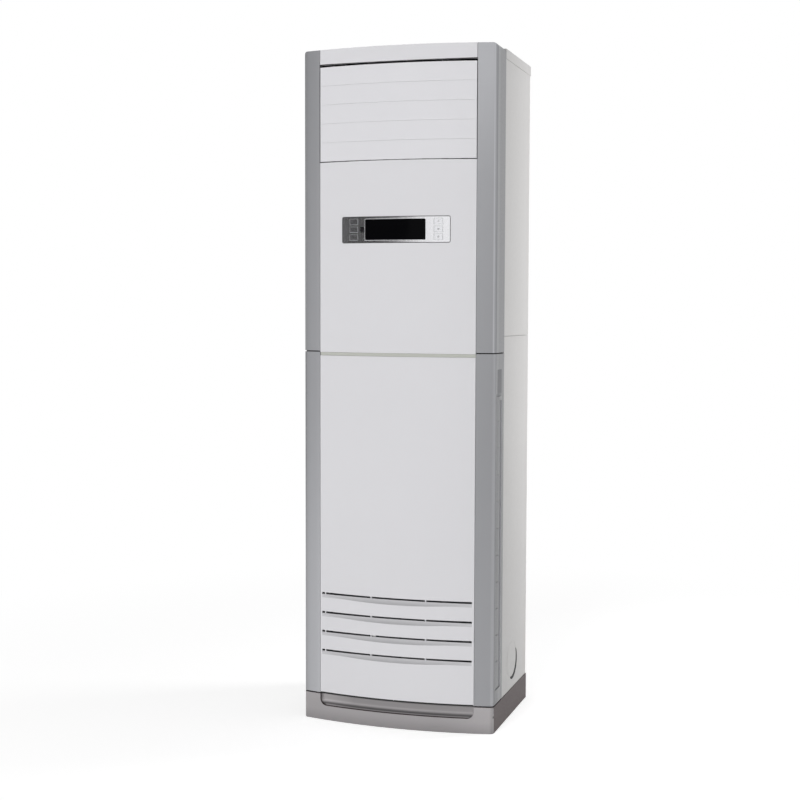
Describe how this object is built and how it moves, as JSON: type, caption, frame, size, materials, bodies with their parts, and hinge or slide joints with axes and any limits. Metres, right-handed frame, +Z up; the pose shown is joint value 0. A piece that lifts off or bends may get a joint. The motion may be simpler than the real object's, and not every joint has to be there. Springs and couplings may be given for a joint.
{
  "type": "floor standing air conditioner",
  "caption": "Tall cabinet air conditioner with a bulged front, closing louvres, a display panel, a tilting lower intake door, side intake strips and a plinth base.",
  "frame": {"origin": "middle of the footprint, on the floor", "axes": "+Z up, +X to the viewer's right when facing the front, the front faces -Y"},
  "size_m": [0.53, 0.38, 1.78],
  "materials": {
    "white_moulding": "fine satin gloss",
    "louvre_white": "fine satin gloss",
    "grey_moulding": "smooth satin paint",
    "base_grey": "fine textured plastic",
    "seam_pale": "smooth plastic",
    "panel_paint": "smooth powder coat",
    "bezel_brushed": "brushed along its length",
    "window_black": "polished",
    "receiver_dark": "polished",
    "button_silver": "satin metallic paint",
    "galvanised": "galvanised sheet",
    "screw_steel": "zinc plated",
    "black_rubber": "matt",
    "dark_moulding": "matt",
    "vane_plastic": "matt",
    "motor_shell": "plated",
    "board_green": "lacquered board",
    "fin_aluminium": "thin bright fins",
    "copper": "drawn tube",
    "pan_plastic": "smooth",
    "hose_plastic": "smooth",
    "wheel_plastic": "moulded",
    "filter_plastic": "moulded frame and fine mesh"
  },
  "bodies": {
    "cabinet": {"base_plinth": "base_grey", "bottom_pan": "galvanised", "upper_left_side_panel": "panel_paint", "upper_right_side_panel": "panel_paint", "lower_left_side_panel": "panel_paint", "lower_right_side_panel": "panel_paint", "upper_rear_panel": "panel_paint", "lower_rear_panel": "panel_paint", "case_screws": "screw_steel", "cable_grommet": "black_rubber", "top_cover": "panel_paint", "middle_deck": "galvanised", "upper_front_panel": "white_moulding", "upper_left_pillar": "grey_moulding", "upper_right_pillar": "grey_moulding", "seam_strip": "seam_pale", "left_intake_grille": "grey_moulding", "right_intake_grille": "grey_moulding", "display_bezel": "bezel_brushed", "display_window": "window_black", "receiver_window": "receiver_dark", "control_board": "board_green", "outlet_frame": "dark_moulding", "swing_motors": "motor_shell", "evaporator_coil": "fin_aluminium", "coil_frame": "copper", "drain_pan": "pan_plastic", "drain_hose": "hose_plastic", "refrigerant_pipes": "copper", "fan_scroll": "galvanised", "fan_inlet_plate": "galvanised", "fan_motor": "motor_shell", "electrical_box": "galvanised", "electrical_lid": "galvanised", "power_board": "board_green"},
    "door": {"lower_front_panel": "white_moulding", "lower_left_pillar": "grey_moulding", "lower_right_pillar": "grey_moulding"},
    "filter": {"air_filter": "filter_plastic"},
    "fan": {"fan_wheel": "wheel_plastic"},
    "louvre_1": {"louvre_1": "louvre_white"},
    "louvre_2": {"louvre_2": "louvre_white"},
    "louvre_3": {"louvre_3": "louvre_white"},
    "louvre_4": {"louvre_4": "louvre_white"},
    "louvre_5": {"louvre_5": "louvre_white"},
    "louvre_link": {"louvre_link": "vane_plastic"},
    "vane_1": {"vane_1": "vane_plastic"},
    "vane_2": {"vane_2": "vane_plastic"},
    "vane_3": {"vane_3": "vane_plastic"},
    "vane_4": {"vane_4": "vane_plastic"},
    "vane_5": {"vane_5": "vane_plastic"},
    "vane_6": {"vane_6": "vane_plastic"},
    "vane_7": {"vane_7": "vane_plastic"},
    "vane_link": {"vane_link": "vane_plastic"},
    "button_1": {"button_1": "button_silver"},
    "button_2": {"button_2": "button_silver"},
    "button_3": {"button_3": "button_silver"},
    "button_4": {"button_4": "button_silver"},
    "button_5": {"button_5": "button_silver"},
    "button_6": {"button_6": "button_silver"}
  },
  "joints": [
    {"name": "door_tilt", "type": "hinge", "parent": "cabinet", "child": "door", "pos_m": [0, -0.162, 0.078], "axis": [1, 0, 0], "range_deg": [0, 20]},
    {"name": "filter_slide", "type": "slide", "parent": "door", "child": "filter", "axis": [0, 0, 1], "range_m": [0, 0.2]},
    {"name": "fan_spin", "type": "hinge", "parent": "cabinet", "child": "fan", "pos_m": [-0.024, 0.1, 0.4], "axis": [0, 1, 0], "continuous": true},
    {"name": "louvre_1_swing", "type": "hinge", "parent": "cabinet", "child": "louvre_1", "pos_m": [0, -0.158, 1.71035], "axis": [-1, 0, 0], "range_deg": [0, 80]},
    {"name": "louvre_2_swing", "type": "hinge", "parent": "cabinet", "child": "louvre_2", "pos_m": [0, -0.158, 1.66125], "axis": [-1, 0, 0], "range_deg": [0, 80]},
    {"name": "louvre_3_swing", "type": "hinge", "parent": "cabinet", "child": "louvre_3", "pos_m": [0, -0.158, 1.61215], "axis": [-1, 0, 0], "range_deg": [0, 80]},
    {"name": "louvre_4_swing", "type": "hinge", "parent": "cabinet", "child": "louvre_4", "pos_m": [0, -0.158, 1.56305], "axis": [-1, 0, 0], "range_deg": [0, 80]},
    {"name": "louvre_5_swing", "type": "hinge", "parent": "cabinet", "child": "louvre_5", "pos_m": [0, -0.158, 1.51395], "axis": [-1, 0, 0], "range_deg": [0, 80]},
    {"name": "louvre_link_swing", "type": "hinge", "parent": "louvre_3", "child": "louvre_link", "pos_m": [0.22325, -0.146, 1.61215], "axis": [-1, 0, 0], "range_deg": [-80, 0]},
    {"name": "vane_1_swing", "type": "hinge", "parent": "cabinet", "child": "vane_1", "pos_m": [-0.162, -0.112, 1.62], "axis": [0, 0, 1], "range_deg": [-35, 35]},
    {"name": "vane_2_swing", "type": "hinge", "parent": "cabinet", "child": "vane_2", "pos_m": [-0.108, -0.112, 1.62], "axis": [0, 0, 1], "range_deg": [-35, 35]},
    {"name": "vane_3_swing", "type": "hinge", "parent": "cabinet", "child": "vane_3", "pos_m": [-0.054, -0.112, 1.62], "axis": [0, 0, 1], "range_deg": [-35, 35]},
    {"name": "vane_4_swing", "type": "hinge", "parent": "cabinet", "child": "vane_4", "pos_m": [0, -0.112, 1.62], "axis": [0, 0, 1], "range_deg": [-35, 35]},
    {"name": "vane_5_swing", "type": "hinge", "parent": "cabinet", "child": "vane_5", "pos_m": [0.054, -0.112, 1.62], "axis": [0, 0, 1], "range_deg": [-35, 35]},
    {"name": "vane_6_swing", "type": "hinge", "parent": "cabinet", "child": "vane_6", "pos_m": [0.108, -0.112, 1.62], "axis": [0, 0, 1], "range_deg": [-35, 35]},
    {"name": "vane_7_swing", "type": "hinge", "parent": "cabinet", "child": "vane_7", "pos_m": [0.162, -0.112, 1.62], "axis": [0, 0, 1], "range_deg": [-35, 35]},
    {"name": "vane_link_swing", "type": "hinge", "parent": "vane_4", "child": "vane_link", "pos_m": [0, -0.08, 1.5055], "axis": [0, 0, 1], "range_deg": [-35, 35]},
    {"name": "button_1_press", "type": "slide", "parent": "cabinet", "child": "button_1", "axis": [0, 1, 0], "range_m": [0, 0.001], "stiffness_N_per_m": 400},
    {"name": "button_2_press", "type": "slide", "parent": "cabinet", "child": "button_2", "axis": [0, 1, 0], "range_m": [0, 0.001], "stiffness_N_per_m": 400},
    {"name": "button_3_press", "type": "slide", "parent": "cabinet", "child": "button_3", "axis": [0, 1, 0], "range_m": [0, 0.001], "stiffness_N_per_m": 400},
    {"name": "button_4_press", "type": "slide", "parent": "cabinet", "child": "button_4", "axis": [0, 1, 0], "range_m": [0, 0.001], "stiffness_N_per_m": 400},
    {"name": "button_5_press", "type": "slide", "parent": "cabinet", "child": "button_5", "axis": [0, 1, 0], "range_m": [0, 0.001], "stiffness_N_per_m": 400},
    {"name": "button_6_press", "type": "slide", "parent": "cabinet", "child": "button_6", "axis": [0, 1, 0], "range_m": [0, 0.001], "stiffness_N_per_m": 400}
  ],
  "couplings": [
    {"joint": "louvre_1_swing", "follows": "louvre_3_swing", "ratio": 1},
    {"joint": "louvre_2_swing", "follows": "louvre_3_swing", "ratio": 1},
    {"joint": "louvre_4_swing", "follows": "louvre_3_swing", "ratio": 1},
    {"joint": "louvre_5_swing", "follows": "louvre_3_swing", "ratio": 1},
    {"joint": "louvre_link_swing", "follows": "louvre_3_swing", "ratio": -1},
    {"joint": "vane_1_swing", "follows": "vane_4_swing", "ratio": 1},
    {"joint": "vane_2_swing", "follows": "vane_4_swing", "ratio": 1},
    {"joint": "vane_3_swing", "follows": "vane_4_swing", "ratio": 1},
    {"joint": "vane_5_swing", "follows": "vane_4_swing", "ratio": 1},
    {"joint": "vane_6_swing", "follows": "vane_4_swing", "ratio": 1},
    {"joint": "vane_7_swing", "follows": "vane_4_swing", "ratio": 1},
    {"joint": "vane_link_swing", "follows": "vane_4_swing", "ratio": -1}
  ]
}
